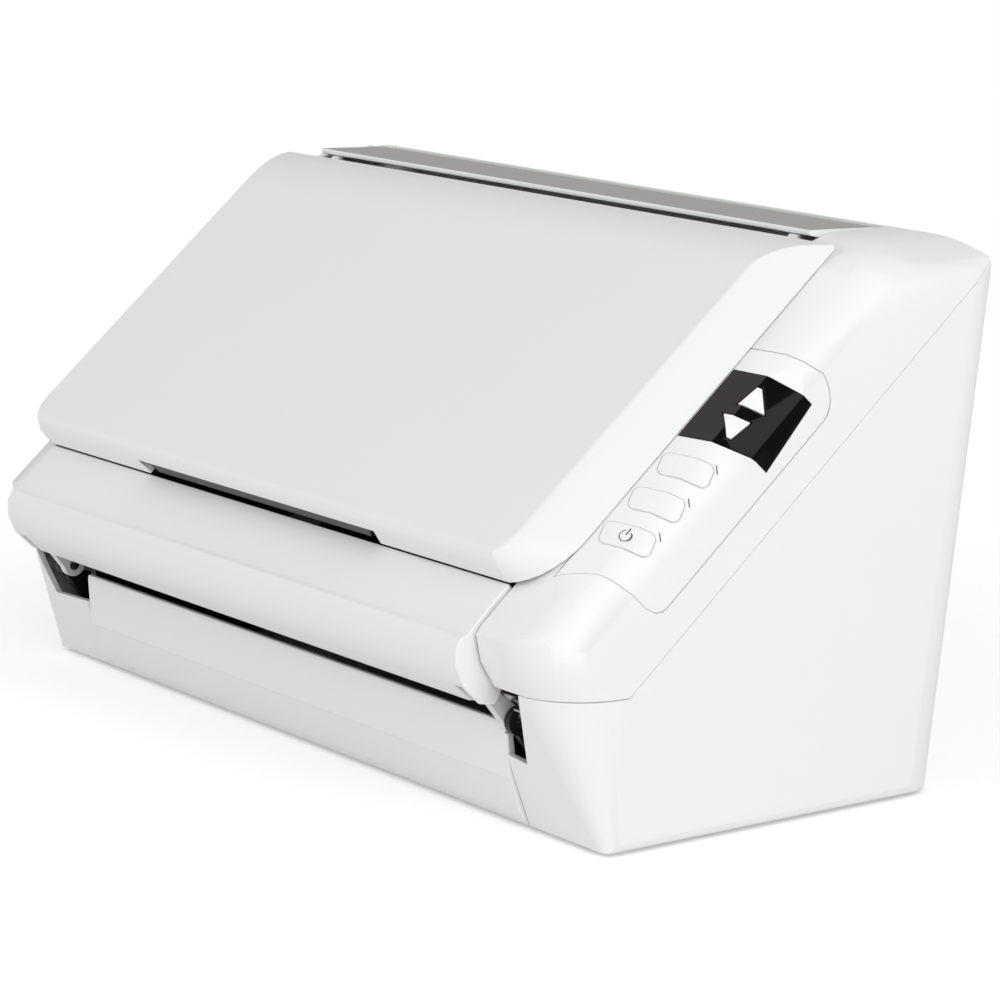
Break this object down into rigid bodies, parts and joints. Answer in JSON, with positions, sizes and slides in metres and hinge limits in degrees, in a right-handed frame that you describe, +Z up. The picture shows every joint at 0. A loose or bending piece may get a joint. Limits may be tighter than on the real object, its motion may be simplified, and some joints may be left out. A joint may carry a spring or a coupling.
{
  "type": "sheet fed document scanner",
  "caption": "Desktop sheet fed scanner, wedge shaped and closed: sloping tray lid with slide out extension, hinged front door over the paper path, side control strip.",
  "frame": {"origin": "centre of the overall footprint, on the surface that the rubber feet rest on", "axes": "+X to the machine's right as its user faces it, +Y to the rear, +Z up"},
  "size_m": [0.3014, 0.1664, 0.1605],
  "materials": {
    "acetal": "natural",
    "aluminium": "cast",
    "black_plastic": "matt moulded",
    "board": "solder mask",
    "bronze": "sintered",
    "dark_grey_plastic": "fine matt moulded",
    "glass": "clear",
    "gloss_black": "polished",
    "grey_rubber": "soft matt",
    "pale_plastic": "fine matt moulded",
    "plate_grey": "matt",
    "plated_steel": "black coated",
    "rubber": "soft matt",
    "steel": "turned",
    "white_plastic": "fine matt moulded"
  },
  "bodies": {
    "housing": {"base_plate": "pale_plastic", "rubber_feet": "rubber", "base_screws": "steel", "front_panel": "white_plastic", "left_side_cover": "white_plastic", "right_side_cover": "white_plastic", "left_top_cap": "white_plastic", "right_top_cap": "white_plastic", "rear_cover": "white_plastic", "control_insert": "white_plastic", "display_window": "gloss_black", "control_board": "board", "left_chassis_plate": "plated_steel", "right_chassis_plate": "plated_steel", "left_hinge_bracket": "plated_steel", "right_hinge_bracket": "plated_steel", "lower_guide": "black_plastic", "lower_image_sensor": "black_plastic", "lower_sensor_glass": "glass", "paper_ramp": "dark_grey_plastic", "shaft_bushes": "bronze", "gear_studs": "steel", "drive_motor": "aluminium", "main_board": "board", "dc_jack": "black_plastic", "usb_port": "steel"},
    "door": {"door_cover": "white_plastic", "door_guide": "black_plastic", "upper_image_sensor": "black_plastic", "upper_sensor_glass": "glass", "door_arms": "pale_plastic", "door_pins": "steel", "separation_holder": "black_plastic"},
    "separation": {"separation_roller": "grey_rubber"},
    "idlers": {"exit_idlers": "steel"},
    "plate": {"top_plate": "plate_grey", "plate_pins": "steel", "lid_pins": "steel"},
    "lid": {"tray_lid": "white_plastic", "tray_liner": "dark_grey_plastic"},
    "extension": {"tray_extension": "dark_grey_plastic"},
    "left_guide": {"left_side_guide": "dark_grey_plastic"},
    "right_guide": {"right_side_guide": "dark_grey_plastic"},
    "guide_gear": {"guide_pinion": "acetal"},
    "up_key": {"button_up": "white_plastic"},
    "down_key": {"button_down": "white_plastic"},
    "cancel_key": {"button_cancel": "white_plastic"},
    "scan_key": {"button_scan": "white_plastic"},
    "power_key": {"button_power": "white_plastic"},
    "feed_roller": {"feed_shaft": "steel", "feed_tyres": "rubber"},
    "pick_roller": {"pick_shaft": "steel", "pick_tyres": "rubber"},
    "exit_roller": {"exit_shaft": "steel", "exit_tyres": "rubber"},
    "exit_idler": {"exit_idler_gear": "acetal"},
    "pick_idler": {"pick_idler_gear": "acetal"},
    "pinion": {"motor_pinion": "acetal"}
  },
  "joints": [
    {"name": "door_hinge", "type": "hinge", "parent": "housing", "child": "door", "pos_m": [-0.0073, -0.06209, 0.0329], "axis": [1, 0, 0], "range_deg": [0, 70]},
    {"name": "plate_hinge", "type": "hinge", "parent": "housing", "child": "plate", "pos_m": [-0.0073, 0.06139, 0.1569], "axis": [-1, 0, 0], "range_deg": [0, 112]},
    {"name": "lid_hinge", "type": "hinge", "parent": "plate", "child": "lid", "pos_m": [-0.0073, 0.03713, 0.155], "axis": [-1, 0, 0], "range_deg": [0, 40]},
    {"name": "extension_slide", "type": "slide", "parent": "lid", "child": "extension", "axis": [0, -0.7638, -0.6455], "range_m": [0, 0.066]},
    {"name": "left_guide_slide", "type": "slide", "parent": "housing", "child": "left_guide", "axis": [1, 0, 0], "range_m": [0, 0.065]},
    {"name": "right_guide_slide", "type": "slide", "parent": "housing", "child": "right_guide", "axis": [-1, 0, 0], "range_m": [0, 0.065]},
    {"name": "guide_pinion_spin", "type": "hinge", "parent": "housing", "child": "guide_gear", "pos_m": [-0.0073, 0.01169, 0.09488], "axis": [0, -0.6455, 0.7638], "range_deg": [0, 582.4]},
    {"name": "up_press", "type": "slide", "parent": "housing", "child": "up_key", "axis": [-0.7071, 0.4564, -0.5401], "range_m": [0, 0.0006], "stiffness_N_per_m": 400, "springref_m": -0.0015},
    {"name": "down_press", "type": "slide", "parent": "housing", "child": "down_key", "axis": [-0.7071, 0.4564, -0.5401], "range_m": [0, 0.0006], "stiffness_N_per_m": 400, "springref_m": -0.0015},
    {"name": "cancel_press", "type": "slide", "parent": "housing", "child": "cancel_key", "axis": [-0.7071, 0.4564, -0.5401], "range_m": [0, 0.0006], "stiffness_N_per_m": 400, "springref_m": -0.0015},
    {"name": "scan_press", "type": "slide", "parent": "housing", "child": "scan_key", "axis": [-0.7071, 0.4564, -0.5401], "range_m": [0, 0.0006], "stiffness_N_per_m": 400, "springref_m": -0.0015},
    {"name": "power_press", "type": "slide", "parent": "housing", "child": "power_key", "axis": [-0.7071, 0.4564, -0.5401], "range_m": [0, 0.0006], "stiffness_N_per_m": 400, "springref_m": -0.0015},
    {"name": "feed_spin", "type": "hinge", "parent": "housing", "child": "feed_roller", "pos_m": [-0.0073, -0.03857, 0.05241], "axis": [1, 0, 0], "continuous": true},
    {"name": "pick_spin", "type": "hinge", "parent": "housing", "child": "pick_roller", "pos_m": [-0.0073, -0.01887, 0.06906], "axis": [1, 0, 0], "continuous": true},
    {"name": "exit_spin", "type": "hinge", "parent": "housing", "child": "exit_roller", "pos_m": [-0.0073, -0.06008, 0.03881], "axis": [1, 0, 0], "continuous": true},
    {"name": "exit_idler_spin", "type": "hinge", "parent": "housing", "child": "exit_idler", "pos_m": [-0.0073, -0.0489, 0.04013], "axis": [1, 0, 0], "continuous": true},
    {"name": "pick_idler_spin", "type": "hinge", "parent": "housing", "child": "pick_idler", "pos_m": [-0.0073, -0.02347, 0.05452], "axis": [1, 0, 0], "continuous": true},
    {"name": "pinion_spin", "type": "hinge", "parent": "housing", "child": "pinion", "pos_m": [-0.0073, -0.03311, 0.03903], "axis": [1, 0, 0], "continuous": true},
    {"name": "separation_spin", "type": "hinge", "parent": "door", "child": "separation", "pos_m": [-0.0073, -0.04709, 0.06249], "axis": [1, 0, 0], "continuous": true},
    {"name": "idler_spin", "type": "hinge", "parent": "door", "child": "idlers", "pos_m": [-0.0073, -0.06498, 0.04462], "axis": [1, 0, 0], "continuous": true}
  ],
  "couplings": [
    {"joint": "right_guide_slide", "follows": "left_guide_slide", "ratio": 1},
    {"joint": "guide_pinion_spin", "follows": "left_guide_slide", "rad_per_m": 156.25},
    {"joint": "pick_spin", "follows": "feed_spin", "ratio": 1},
    {"joint": "exit_spin", "follows": "feed_spin", "ratio": 2},
    {"joint": "exit_idler_spin", "follows": "feed_spin", "ratio": -1.5},
    {"joint": "pick_idler_spin", "follows": "feed_spin", "ratio": -1.7143},
    {"joint": "pinion_spin", "follows": "feed_spin", "ratio": -2}
  ]
}
